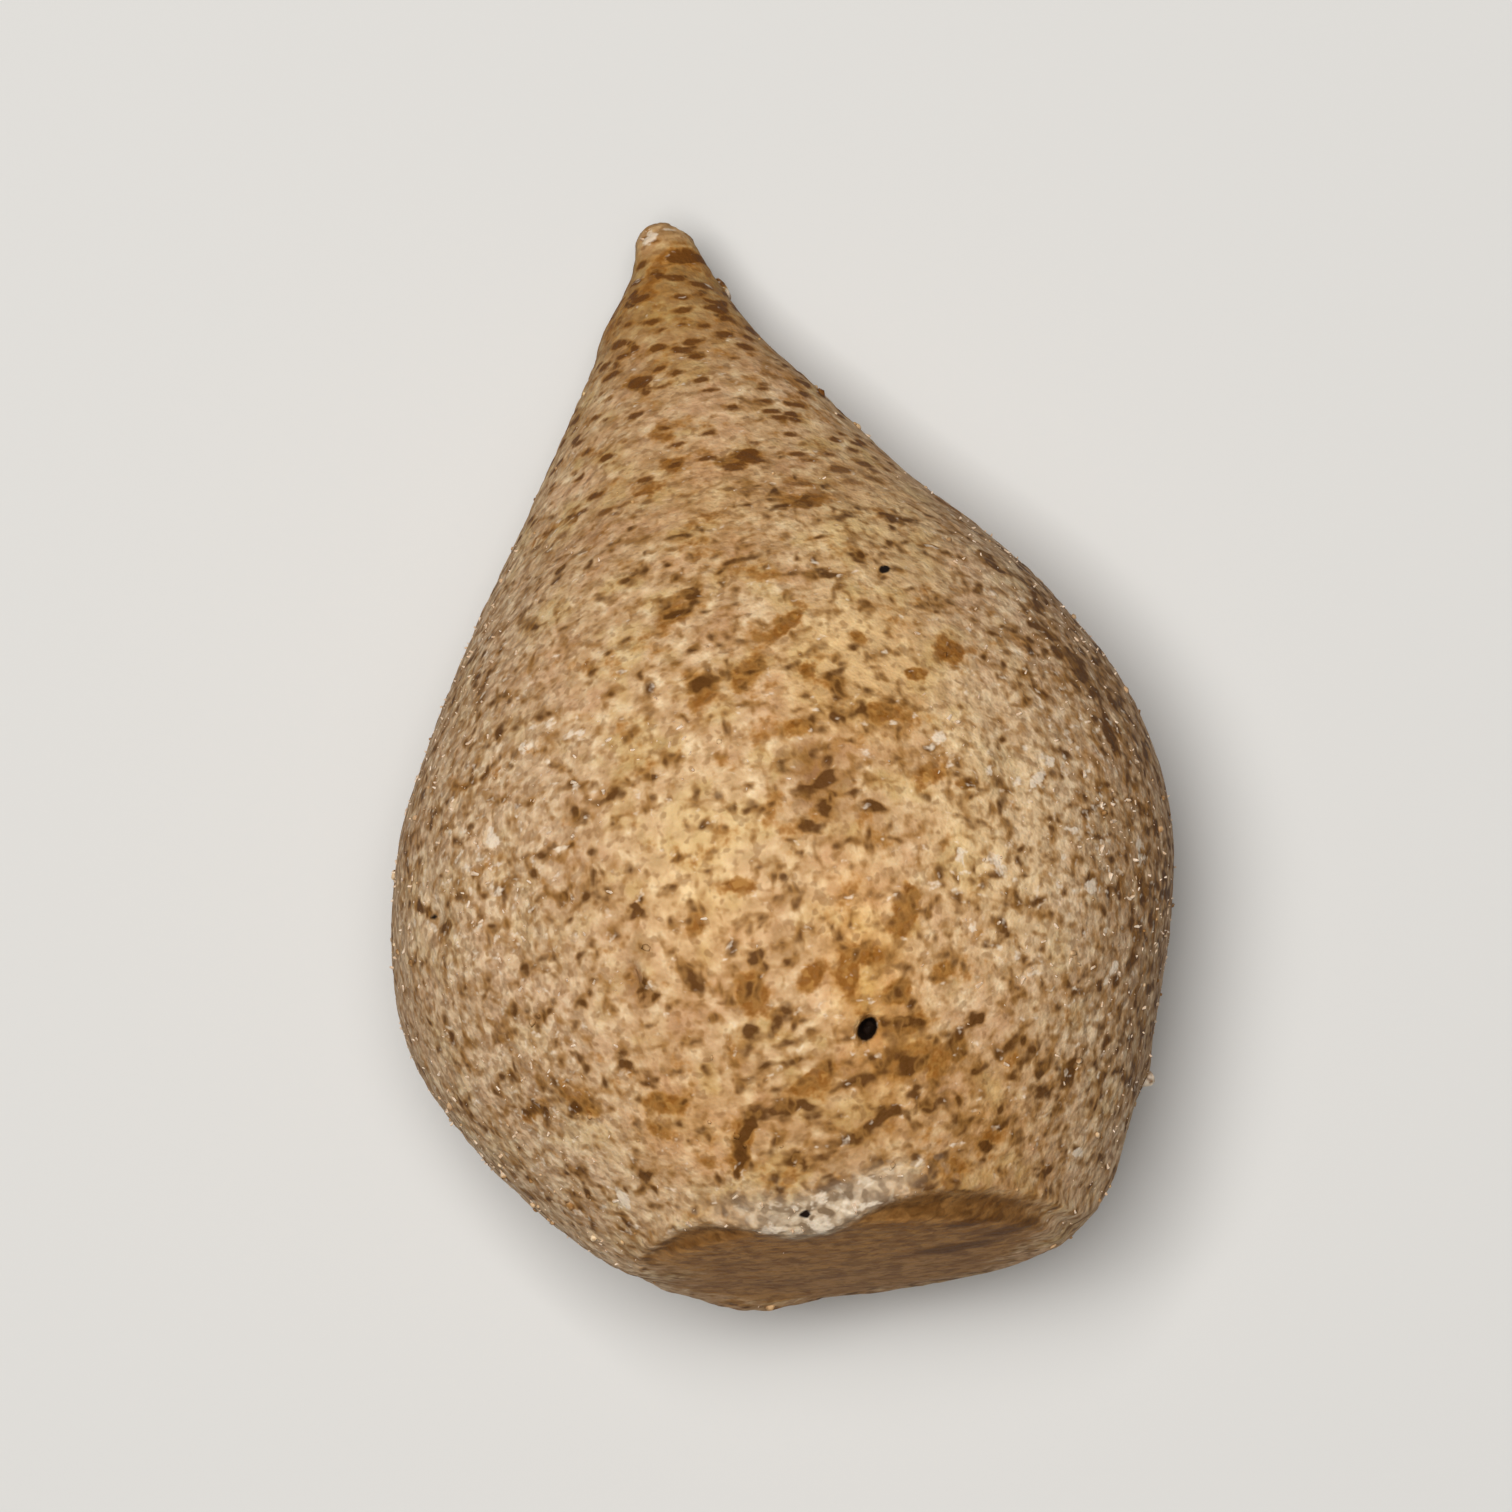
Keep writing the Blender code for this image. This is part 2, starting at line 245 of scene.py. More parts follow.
# Where the skin differs, painted on the vertices as masks that the material reads. First the flecks
# on the upper side, of soaked bran, dark husk and frost: x, y, length and width in millimetres, and
# turn in degrees. At the end of its length or width a fleck has faded by this much, as a power of e.
FLECK_FADE = 0.7
FLECKS = {
    "bran": [
        (5.5, -14.8, 1.6, 1.2, 20),
        (5.8, -16.6, 2.6, 1.0, 5),
        (5.3, -18.5, 2.6, 2.0, 10),
        (6.8, -19.5, 1.8, 1.0, 60),
        (8.4, -18.4, 1.5, 0.7, 80),
        (0.2, -18.5, 3.4, 1.0, 22),
        (4.2, -12.2, 2.2, 1.4, 150),
        (3.0, -12.8, 2.0, 0.9, 80),
        (6.6, -10.6, 2.3, 1.5, 60),
        (7.2, -9.1, 1.5, 0.8, 110),
        (8.1, -14.0, 1.6, 0.9, 40),
        (-5.1, -8.6, 1.3, 1.1, 90),
        (-2.3, -7.0, 2.0, 0.8, 170),
        (-2.9, -13.0, 2.2, 1.5, 80),
        (0.8, -12.9, 2.0, 1.1, 60),
        (-8.8, -18.5, 2.4, 1.0, 150),
        (-13.4, -17.9, 2.5, 1.4, 128),
        (-4.8, -21.8, 3.2, 1.0, 66),
        (-2.6, 4.8, 2.8, 1.6, 170),
        (0.2, 4.8, 2.2, 1.4, 40),
        (-2.7, 9.3, 2.6, 1.7, 30),
        (3.1, 7.1, 2.4, 0.6, 34),
        (3.6, 4.3, 1.5, 0.7, 140),
        (5.0, 3.4, 1.6, 1.0, 160),
        (7.3, 1.2, 1.6, 1.0, 165),
        (2.7, 1.2, 1.4, 0.9, 0),
        (9.8, 3.0, 1.2, 0.7, 160),
        (12.0, 4.1, 1.7, 1.1, 130),
        (7.0, 5.6, 1.2, 0.8, 150),
        (9.5, -2.8, 2.6, 1.4, 20),
        (11.5, -3.8, 1.6, 0.6, 0),
        (2.7, 17.4, 1.8, 1.0, 0),
        (-1.8, 17.8, 1.8, 0.9, 155),
        (5.3, 14.1, 2.3, 0.8, 170),
        (-16.2, -17.7, 1.8, 0.9, 28),
        (1.0, 30.4, 2.6, 0.8, 168),
        (-0.6, 29.8, 1.2, 0.9, 0),
        (-2.0, 28.2, 1.8, 0.7, 12),
        (-2.9, 23.0, 1.4, 0.8, 170),
        (-5.4, -30.5, 2.4, 0.7, 174),
        (-1.9, -30.7, 2.2, 0.6, 178),
    ],
    "husk": [
        (-8.2, -7.2, 1.5, 0.6, 125),
        (-8.2, -5.2, 0.8, 0.6, 0),
        (-10.3, -4.9, 2.4, 0.5, 86),
        (-6.3, -6.5, 1.4, 0.6, 30),
        (-11.4, -10.1, 1.1, 0.6, 60),
        (0.5, -7.1, 1.5, 0.5, 42),
        (1.3, -5.6, 1.4, 0.7, 130),
        (2.1, -4.6, 1.1, 0.8, 150),
        (3.3, -3.7, 1.9, 0.7, 10),
        (5.0, -3.2, 0.9, 0.7, 110),
        (6.0, -3.9, 1.3, 0.6, 150),
        (3.9, -1.3, 1.6, 0.7, 70),
        (-2.1, -11.2, 2.0, 0.5, 40),
        (-0.4, -11.8, 1.4, 0.5, 15),
        (-1.7, -9.5, 1.0, 0.5, 40),
        (-1.8, -15.4, 1.9, 0.6, 75),
        (-3.2, -15.0, 1.4, 0.6, 70),
        (-6.1, -14.0, 0.9, 0.6, 110),
        (-10.2, -16.2, 2.3, 0.6, 125),
        (-7.2, -18.9, 1.2, 0.6, 150),
        (-4.4, -20.9, 1.5, 0.7, 60),
        (-5.2, -23.0, 1.6, 0.45, 60),
        (3.0, -21.6, 1.4, 0.7, 30),
        (5.5, -20.9, 1.2, 0.6, 120),
        (5.1, -19.0, 1.4, 0.8, 10),
        (9.8, -17.0, 1.8, 0.8, 10),
        (12.3, -18.2, 1.0, 0.7, 20),
        (12.3, -12.5, 1.3, 0.7, 140),
        (13.1, -20.4, 1.6, 0.6, 50),
        (11.4, -20.6, 1.3, 0.6, 80),
        (14.2, -21.3, 1.7, 0.8, 70),
        (9.6, -23.2, 0.9, 0.7, 150),
        (8.7, -24.3, 1.0, 0.6, 130),
        (12.6, -22.0, 0.8, 0.6, 20),
        (10.9, -13.0, 0.8, 0.6, 45),
        (-2.9, 4.8, 1.6, 0.8, 175),
        (0.3, 4.4, 1.0, 0.7, 60),
        (-2.0, 10.0, 1.7, 0.6, 0),
        (-3.1, 9.0, 1.4, 0.7, 20),
        (11.3, 7.1, 2.1, 0.6, 135),
        (6.3, 9.6, 1.8, 0.5, 170),
        (5.4, 14.1, 1.9, 0.6, 170),
        (2.8, 17.5, 1.3, 0.8, 0),
        (1.2, 17.3, 1.0, 0.6, 150),
        (-9.2, 12.6, 1.7, 0.5, 45),
        (10.8, 12.1, 2.1, 0.5, 155),
        (15.4, 8.8, 1.6, 0.7, 135),
        (17.6, 4.2, 3.6, 0.6, 124),
        (19.4, 1.4, 3.4, 0.6, 112),
        (20.6, -2.6, 3.0, 0.6, 100),
        (1.0, 30.4, 2.2, 0.5, 168),
        (1.0, 29.0, 1.6, 0.45, 145),
        (-0.6, 29.8, 0.9, 0.6, 0),
        (-2.0, 28.2, 1.5, 0.5, 12),
        (1.9, 27.8, 1.1, 0.5, 128),
        (2.9, 26.6, 1.0, 0.7, 100),
        (-2.8, 25.6, 1.0, 0.6, 150),
        (0.9, 24.2, 1.6, 0.5, 175),
        (-2.9, 23.0, 1.4, 0.8, 170),
        (6.3, -30.2, 5.0, 0.6, 178),
        (9.9, -29.6, 4.0, 0.6, 4),
        (7.0, -28.6, 3.0, 0.4, 176),
        (-9.1, -10.4, 0.9, 0.35, 38),
        (-9.5, -11.3, 1.3, 0.45, 92),
        (-9.1, -12.1, 1.0, 0.4, 125),
        (-8.5, -11.2, 0.9, 0.35, 90),
        (-8.0, -12.3, 0.7, 0.5, 40),
        (-20.6, -5.5, 2.2, 0.5, 115),
        (-19.6, -6.3, 1.1, 0.45, 25),
        (-10.5, -22.5, 0.9, 0.6, 160),
        (-3.3, -24.5, 0.8, 0.45, 150),
        (-1.6, -23.3, 1.3, 0.4, 125),
        (0.3, -25.6, 1.6, 0.4, 175),
        (0.6, -26.5, 0.8, 0.35, 170),
        (-8.1, -24.9, 0.9, 0.7, 45),
        (11.6, -26.5, 1.2, 0.5, 10),
    ],
    "ice": [
        (10.6, -0.9, 1.0, 0.8, 170),
        (13.0, -3.1, 0.7, 0.6, 170),
        (14.5, -4.3, 0.7, 0.6, 170),
        (16.0, -3.9, 2.6, 0.5, 38),
        (10.4, -7.8, 1.6, 0.5, 95),
        (12.6, -8.8, 1.1, 0.9, 100),
        (8.7, -9.0, 0.8, 0.7, 170),
        (17.6, -10.8, 0.9, 0.6, 50),
        (10.3, -11.8, 1.2, 0.5, 85),
        (18.0, -15.9, 1.6, 0.5, 50),
        (20.9, -9.5, 1.9, 0.5, 82),
        (6.3, -9.2, 0.8, 0.7, 170),
        (-15.8, -2.0, 1.0, 0.8, 70),
        (-9.9, 3.1, 1.3, 0.6, 0),
        (-11.4, 4.1, 1.1, 0.5, 20),
        (-13.0, 3.0, 0.9, 0.6, 50),
        (-8.5, -11.8, 0.8, 0.5, 0),
        (-12.1, -23.8, 1.8, 0.5, 112),
        (7.3, -23.8, 0.9, 0.5, 10),
        (14.0, -25.9, 0.8, 0.6, 170),
        (2.6, -16.5, 1.2, 0.25, 62),
        (1.6, -26.3, 2.0, 0.35, 12),
        (-1.4, -26.9, 1.6, 0.4, 174),
        (-4.0, -26.7, 2.0, 0.4, 8),
        (-0.6, 32.0, 1.2, 0.8, 40),
    ],
}
masks = {"end_face": end_face, "end_bend_shade": end_bend_shade}
for name, flecks in FLECKS.items():
    mask = np.zeros(count)
    for x, y, length, width, turn in flecks:
        along = np.array((math.cos(math.radians(turn)), math.sin(math.radians(turn))))
        across = np.array((-along[1], along[0]))
        aside = skin[:, :2] - (x, y)
        off = np.hypot(aside @ along * 2 / length, aside @ across * 2 / width)
        mask = np.maximum(mask, np.exp(-FLECK_FADE * off**3))
    masks[name] = mask * upper

# Places of the upper side that differ in colour: x, y, reach along x, reach along y, strength.
PATCHES = {
    "moist": [
        (6.6, 3.8, 5.0, 4.5, 0.85),
        (4.0, -14.0, 3.2, 9.0, 0.9),
        (-4.5, -8.0, 4.0, 5.0, 0.5),
        (-1.0, 26.0, 8.0, 7.0, 0.25),
        (0.0, 15.5, 6.0, 5.0, 0.5),
        (8.0, 13.0, 5.0, 6.0, 0.4),
        (-8.0, -20.0, 8.0, 4.0, 0.5),
        (10.0, -23.0, 4.5, 4.0, 0.5),
    ],
    "pale": [
        (-3.6, -5.0, 5.5, 5.5, 0.6),
        (6.8, 4.8, 4.2, 4.0, 1.0),
        (13.0, -6.0, 5.0, 8.0, 0.9),
        (9.5, 11.5, 5.0, 4.5, 0.7),
    ],
    "glint": [
        (10.8, -0.8, 2.4, 2.0, 1.0),
        (-12.0, -23.6, 1.6, 0.9, 1.0),
        (18.6, -8.4, 2.0, 5.0, 0.8),
        (-16.0, -4.5, 3.0, 4.0, 0.7),
        (-2.0, -25.8, 5.0, 1.2, 1.0),
        (13.0, -12.0, 4.0, 6.0, 0.7),
        (-8.0, 0.5, 5.0, 4.0, 0.6),
        (-0.4, 32.4, 1.0, 0.8, 1.0),
    ],
    # Painted shade in the dimple and the side pit, partly greyer dough, and darker dough at the left.
    "dusky_and_recess_shade": [
        (3.1, -2.2, 1.7, 2.7, 1.0),
        (5.6, -4.2, 1.4, 0.8, 0.8),
        (-9.2, -11.2, 0.8, 1.5, 1.0),
        (-8.6, -12.4, 0.9, 0.6, 1.0),
        (-12.0, -0.5, 4.5, 5.5, 0.32),
    ],
    # Painted shade, near black, in the pinhole, the side pit and small pits.
    "hole_shade": [
        (*PINHOLE, 0.70, 0.70, 1.0),
        (-9.4, -11.2, 0.22, 0.5, 0.75),
        (-9.1, -12.2, 0.22, 0.3, 0.7),
        (9.3, 9.3, 0.45, 0.30, 0.8),
        (-20.3, -5.7, 0.3, 0.4, 0.6),
        (-2.0, -26.2, 0.50, 0.30, 0.75),
    ],
}
for name, places in PATCHES.items():
    mask = np.zeros(count)
    for x, y, reach_x, reach_y, strength in places:
        mask = np.maximum(mask, strength * bell((skin[:, 0] - x) / reach_x, (skin[:, 1] - y) / reach_y))
    masks[name] = mask * upper

# Frost where cold air reached: both flanks, the underside, and the lip over the flat end.
flank = smooth_step(7.5, 17.0, np.abs(own[:, 0] - 1.0))
below = smooth_step(4.0, 16.0, 14.0 - own[:, 2])
lip = bell((past_lip + 1.1) / 1.4) * upper * bell((skin[:, 0] + 1.0) / 6.0)
frost = np.maximum(flank, 0.6 * below) * (1 - 0.75 * smooth_step(4.0, 22.0, own[:, 1]))
masks["frost"] = np.clip(frost + lip, 0, 1) * (1 - end_face)
masks["lip"] = lip
# Painted shade on the right flank, at the point and above the flat end, partly browner and duller dough.
masks["brown_and_shaded"] = smooth_step(14.5, 21.5, skin[:, 0])
low = smooth_step(-10.0, -22.0, skin[:, 1]) * smooth_step(-9.0, -2.0, skin[:, 0]) * upper
low *= 1 - 0.7 * smooth_step(6.0, 12.0, skin[:, 0])
nub = smooth_step(29.5, 32.5, skin[:, 1])
masks["dull_and_shaded"] = np.maximum(smooth_step(11.0, 26.0, own[:, 1]) * (1 - 0.5 * nub), 0.25 * low)
masks["low"] = low
# Where the dough was drawn out, bits lie apart from each other.
masks["drawn"] = smooth_step(2.0, 9.0, own[:, 1])

rolled = own[:, 1] - ROLLED_FROM
bit_place = own.copy()
bit_place[:, 1] += ROLLED_SQUEEZE * (rolled + np.hypot(rolled, ROLLED_FADE))
bit_place[:, ::2] *= (1 - ROLLED_STRETCH * smooth_step(0.0, 16.0, own[:, 1]))[:, None]

skin += normals * height[:, None]
aside = skin[:, :2] - PINHOLE
narrow = np.array((math.sin(PINHOLE_LEAN), -math.cos(PINHOLE_LEAN)))
wide = np.array((math.cos(PINHOLE_LEAN), math.sin(PINHOLE_LEAN)))
near_hole = np.exp(-(aside**2).sum(axis=1) / PINHOLE_REACH**2) * (skin[:, 2] > PINHOLE_ABOVE)
skin[:, :2] -= (PINHOLE_SQUEEZE * near_hole * (aside @ narrow))[:, None] * narrow
skin[:, :2] += (PINHOLE_STRETCH * near_hole * (aside @ wide))[:, None] * wide
dough.data.vertices.foreach_set("co", (skin * MM).ravel())
dough.data.update()
bpy.ops.object.shade_smooth()


def paint(mesh, masks, bit_place):
    """Stores the masks and the place of each vertex in the pattern as the mesh's attributes."""
    for name, values in masks.items():
        mesh.attributes.new(name, "FLOAT", "POINT").data.foreach_set("value", values)
    place = mesh.attributes.new("bit_place", "FLOAT_VECTOR", "POINT")
    place.data.foreach_set("vector", bit_place.ravel())


paint(dough.data, masks, bit_place)

# Raw wheat-and-meat dough, frozen: matt and faintly translucent, cream with brown bran in it.
paste = bpy.data.materials.new("frozen_wheat_dough")
paste.use_nodes = True
tree = paste.node_tree
shader = tree.nodes["Principled BSDF"]
shader.inputs["Roughness"].default_value = 0.7
shader.inputs["IOR"].default_value = 1.38
shader.inputs["Specular IOR Level"].default_value = 0.15
shader.inputs["Subsurface Weight"].default_value = 0.1
shader.inputs["Subsurface Radius"].default_value = (1.0, 0.55, 0.3)
shader.inputs["Subsurface Scale"].default_value = 0.6 * MM

whole = add_node(tree, "ShaderNodeTexCoord").outputs["Object"]
spaces = {
    "own": add_node(tree, "ShaderNodeMapping", {}, {"Vector": whole, "Scale": (1 / MM,) * 3}).outputs[0],
    "rolled": add_node(tree, "ShaderNodeAttribute", {"attribute_name": "bit_place"}).outputs["Vector"],
}
values = {
    name: add_node(tree, "ShaderNodeAttribute", {"attribute_name": name}).outputs["Fac"] for name in masks
}

# Unevenness of the kneaded mass, each kind at its real size: cracked wheat of about a millimetre
# (grain), specks and threads of bran (dot, squiggle), bran flakes that lie one way or the other
# (mark, sliver), soaked bran (orange) with torn edges (fray), ice crust (rime), streaks on the flat
# end (smear), and slow changes of the whole (mid, hue, patchy, broad). For each, the space that it
# lies in, its widths in millimetres along x, y and z, its detail and roughness, and how far it
# carries that space aside to make its own.
CLOUDS = {
    "kneaded": ("rolled", (1.6, 1.6, 1.6), 1.0, 0.5, 0.6),
    "grain": ("own", (1.1, 1.1, 1.1), 2.0, 0.55, None),
    "dot": ("own", (0.6, 0.6, 0.6), 1.0, 0.5, None),
    "mark": ("kneaded", (1.1, 0.85, 0.95), 1.5, 0.45, None),
    "sliver": ("kneaded", (0.75, 1.25, 0.9), 1.5, 0.45, None),
    "squiggle": ("kneaded", (0.7, 0.7, 0.7), 1.0, 0.5, None),
    "mid": ("kneaded", (2.4, 2.4, 2.4), 2.0, 0.6, None),
    "orange": ("kneaded", (2.6, 2.6, 2.6), 1.0, 0.5, None),
    "fray": ("own", (0.8, 0.8, 0.8), 2.0, 0.6, None),
    "rime": ("kneaded", (0.9, 0.7, 0.8), 2.0, 0.6, None),
    "hue": ("own", (3.1, 3.1, 3.1), 2.0, 0.5, None),
    "patchy": ("own", (4.5, 4.5, 4.5), 2.0, 0.5, None),
    "broad": ("own", (9.0, 9.0, 9.0), 2.0, 0.5, None),
    "rough": ("own", (0.7, 0.7, 0.7), 2.0, 0.55, None),
    "smear": ("kneaded", (3.0, 1.3, 1.3), 2.0, 0.6, None),
}
for name, (space, widths, detail, roughness, carry) in CLOUDS.items():
    scaled = add_node(
        tree, "ShaderNodeMapping", {}, {"Vector": spaces[space], "Scale": [1 / width for width in widths]}
    )
    cloud = add_node(
        tree,
        "ShaderNodeTexNoise",
        {},
        {"Vector": scaled.outputs[0], "Scale": 1.0, "Detail": detail, "Roughness": roughness},
    )
    values[name] = cloud.outputs[0]
    if carry:
        spaces[name] = add_node(
            tree,
            "ShaderNodeVectorMath",
            {"operation": "MULTIPLY_ADD"},
            {0: cloud.outputs[1], 1: (carry,) * 3, 2: spaces[space]},
        ).outputs[0]

# Bran bits that lie across the point: how far the nearest one is, in shares of their spacing.
BIT_SPACING = (1.8, 1.0, 1.8)
across_point = add_node(
    tree,
    "ShaderNodeMapping",
    {},
    {"Vector": spaces["kneaded"], "Scale": [1 / width for width in BIT_SPACING]},
)
bits = add_node(tree, "ShaderNodeTexVoronoi", {}, {"Vector": across_point.outputs[0], "Scale": 1.0})
values["bit"] = bits.outputs["Distance"]

# Some of these lean on a mask or on each other: which one, the factor, and what is added that many
# times, so that flakes crowd together here and keep away from there.
for name, factor, leaning in (
    ("mark", 0.25, "patchy"),
    ("mark", 0.34, "mid"),
    ("mark", 0.08, "drawn"),
    ("mark", -0.26, "husk"),
    ("mark", -0.02, "frost"),
    ("mark", -0.08, "bran"),
    ("mark", -0.08, "dusky_and_recess_shade"),
    ("mark", -0.10, "brown_and_shaded"),
    ("mark", -0.10, "low"),
    ("sliver", 0.25, "patchy"),
    ("sliver", 0.30, "mid"),
    ("sliver", 0.10, "drawn"),
    ("bit", 0.50, "patchy"),
    ("bit", 0.60, "fray"),
    ("bit", -0.40, "husk"),
    ("bit", -0.22, "bran"),
    ("bit", -0.07, "dull_and_shaded"),
    ("dot", -0.05, "frost"),
    ("orange", 0.60, "fray"),
    ("orange", -0.46, "bran"),
    ("orange", 0.08, "pale"),
    ("orange", -0.04, "moist"),
    ("orange", 0.10, "frost"),
    ("rime", 0.02, "lip"),
    ("rime", 0.06, "glint"),
    ("rime", 0.04, "frost"),
    ("rime", 0.28, "ice"),
):
    values[name] = add_node(
        tree,
        "ShaderNodeMath",
        {"operation": "MULTIPLY_ADD"},
        {0: values[leaning], 1: factor, 2: values[name]},
    ).outputs[0]

# The mass by the grain noise: its own tones, partly painted shade in crevices and light on crests.
DOUGH_SHADES = [
    (0.34, "#a8845a"),
    (0.42, "#b79268"),
    (0.50, "#c39f76"),
    (0.58, "#cdac83"),
    (0.70, "#dec39c"),
]
shades = add_node(tree, "ShaderNodeValToRGB", {}, {"Fac": values["grain"]})
while len(shades.color_ramp.elements) < len(DOUGH_SHADES):
    shades.color_ramp.elements.new(0.5)
for stop, (value, shade) in zip(shades.color_ramp.elements, DOUGH_SHADES):
    stop.position = value
    stop.color = linear(shade)
colour = shades.outputs[0]

# Colours laid over each other: how, the mask, the values where it starts and is full, what it is
# confined to, its strength and its colour.
COLOUR_LAYERS = [
    ("MIX", "hue", 0.52, 0.66, None, 0.28, "#c99a78"),
    ("MIX", "hue", 0.48, 0.34, None, 0.45, "#c3a468"),
    ("MULTIPLY", "broad", 0.56, 0.40, None, 0.4, "#e0cdb4"),
    ("MULTIPLY", "moist", 0.0, 1.0, None, 0.9, "#f8e4b8"),
    # Painted shade on the right flank, at the point and above the flat end, partly browner and duller
    # dough.
    ("MULTIPLY", "brown_and_shaded", 0.0, 1.0, None, 0.95, "#d4c3ad"),
    ("MULTIPLY", "dull_and_shaded", 0.0, 1.0, None, 1.0, "#cec19c"),
    # Painted shade, partly greyer dough, in the dimple and the side pit.
    ("MULTIPLY", "dusky_and_recess_shade", 0.0, 1.0, None, 0.9, "#c0a893"),
    ("MIX", "pale", 0.0, 1.0, None, 0.42, "#e9cb96"),
    ("MIX", "frost", 0.0, 1.0, None, 0.35, "#d2b899"),
    ("MIX", "squiggle", 0.49, 0.35, "frost", 0.52, "#86633e"),
    ("MIX", "squiggle", 0.54, 0.68, "frost", 0.58, "#dec4a0"),
    ("MIX", "mid", 0.46, 0.28, None, 0.40, "#a5794a"),
    ("MIX", "orange", 0.74, 0.54, None, 0.75, "#ad7838"),
    ("MIX", "orange", 0.66, 0.45, None, 0.88, "#7d4b12"),
    ("MIX", "bran", 0.30, 1.00, "moist", 0.3, "#8c5510"),
    ("MIX", "dot", 0.50, 0.64, "bran", 0.5, "#b98847"),
    ("MIX", "squiggle", 0.48, 0.34, "bran", 0.6, "#5c3509"),
    ("MIX", "dot", 0.46, 0.31, None, 0.52, "#835b31"),
    ("MIX", "mark", 0.79, 0.63, None, 0.62, "#996c35"),
    ("MIX", "mark", 0.70, 0.51, None, 0.92, "#53300c"),
    ("MIX", "sliver", 0.75, 0.59, None, 0.62, "#996c35"),
    ("MIX", "sliver", 0.66, 0.47, None, 0.92, "#53300c"),
    ("MIX", "bit", 0.98, 0.84, "drawn", 0.6, "#94642a"),
    ("MIX", "bit", 0.89, 0.71, "drawn", 0.9, "#5f360d"),
    ("MIX", "lip", 0.18, 0.90, None, 0.75, "#b8a48a"),
    ("MIX", "squiggle", 0.54, 0.40, "lip", 0.85, "#6f573d"),
    ("MIX", "squiggle", 0.54, 0.68, "lip", 0.6, "#cdbba1"),
    ("MIX", "rime", 0.64, 0.82, None, 0.72, "#e4d2ba"),
    ("MIX", "end_face", 0.0, 1.0, None, 0.95, "#a87841"),
    ("MIX", "smear", 0.46, 0.62, "end_face", 0.45, "#7a4c1c"),
    ("MIX", "grain", 0.50, 0.34, "end_face", 0.40, "#704314"),
    ("MIX", "squiggle", 0.44, 0.32, "end_face", 0.45, "#62390f"),
    ("MIX", "mark", 0.74, 0.54, "end_face", 0.5, "#6a4318"),
    ("MIX", "husk", 0.25, 0.80, "end_face", 0.6, "#57330f"),
    # Painted shade on the bend above the flat end.
    ("MULTIPLY", "end_bend_shade", 0.0, 1.0, None, 0.7, "#a59a86"),
    # Painted shade, near black, in the pinhole and the pits.
    ("MIX", "hole_shade", 0.35, 0.55, None, 1.0, "#180d06"),
]
for blend, name, start, full, within, strength, layer in COLOUR_LAYERS:
    rising = full > start
    reach = add_node(
        tree,
        "ShaderNodeMapRange",
        {"interpolation_type": "SMOOTHSTEP"},
        {
            "Value": values[name],
            "From Min": min(start, full),
            "From Max": max(start, full),
            "To Min": 0.0 if rising else strength,
            "To Max": strength if rising else 0.0,
        },
    ).outputs[0]
    if within:
        confined = {0: reach, 1: values[within]}
        reach = add_node(tree, "ShaderNodeMath", {"operation": "MULTIPLY"}, confined).outputs[0]
    mix = add_node(
        tree,
        "ShaderNodeMix",
        {"data_type": "RGBA", "blend_type": blend},
        {0: reach, 6: colour, 7: linear(layer)},
    )
    colour = mix.outputs[2]
tree.links.new(colour, shader.inputs["Base Color"])

# The rub of the palm, too fine for the mesh.
ROUGHNESS_DEPTH = 0.20 * MM
bump = add_node(
    tree,
    "ShaderNodeBump",
    {},
    {"Height": values["rough"], "Strength": 1.0, "Distance": ROUGHNESS_DEPTH},
)
tree.links.new(bump.outputs[0], shader.inputs["Normal"])

dough.data.materials.clear()
dough.data.materials.append(paste)
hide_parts("kibbeh")
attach(dough, "root")


# The crumbs.
# Bits of the same dough and single wheat grains that the palm didn't press in. They froze where they
# stuck, most of them on the sides and along the edge of the flat end.
CRUMB_COUNT = 180
CRUMB_RADIUS = (0.10, 0.30)
CRUMB_STRETCH = (0.7, 1.4)
CRUMB_FLATNESS = (1.0, 1.0, 0.8)
CRUMB_LEAN = 0.2
CRUMB_LIFT = 0.15
CRUMB_UNEVENNESS = 0.25
CRUMB_SEED = 11
# How thick they lie anywhere, on the sides, and along the edge of the flat end.
CRUMBS_ANYWHERE = 0.08
CRUMBS_ON_SIDES = 1.0
CRUMBS_ON_EDGE = 0.7
# Two larger ones: x, y and z, half the length, width and height in millimetres, and turn in degrees.
LARGE_CRUMBS = [
    (3.9, 28.2, 10.5, 0.85, 0.28, 0.25, -65),
    (19.3, -22.9, 25.0, 0.55, 0.50, 0.45, 80),
]
LARGE_CRUMB_LIFT = 0.2
FLOOR_CLEARANCE = 1.2
surface = vertex_values(dough.data, "co") / MM
facing = vertex_values(dough.data, "normal")
clear_of_floor = surface[:, 2] > FLOOR_CLEARANCE


def scattered(seed, number, weights):
    """A random generator and the vertices it draws, those with a larger weight more often."""
    draw = np.random.default_rng(seed)
    chosen = draw.choice(len(weights), size=number, replace=False, p=weights / weights.sum())
    return draw, chosen


def joined_copies(name, model, centres, axes, unevenness, draw):
    """One object made of copies of a model, each on its own three axes, with its corners moved a little."""
    corners = vertex_values(model, "co")
    faces = np.array([face.vertices for face in model.polygons])
    shape = corners[None] * (1 + unevenness * draw.uniform(-1, 1, (len(centres), len(corners), 1)))
    points = np.einsum("nkj,nji->nki", shape, axes) + centres[:, None, :]
    shifts = np.arange(len(centres))[:, None, None] * len(corners)
    mesh = bpy.data.meshes.new(name)
    corner_list = (points * MM).reshape(-1, 3).tolist()
    face_list = (faces[None] + shifts).reshape(-1, 3).tolist()
    mesh.from_pydata(corner_list, [], face_list)
    piece = bpy.data.objects.new(name, mesh)
    bpy.context.scene.collection.objects.link(piece)
    return piece


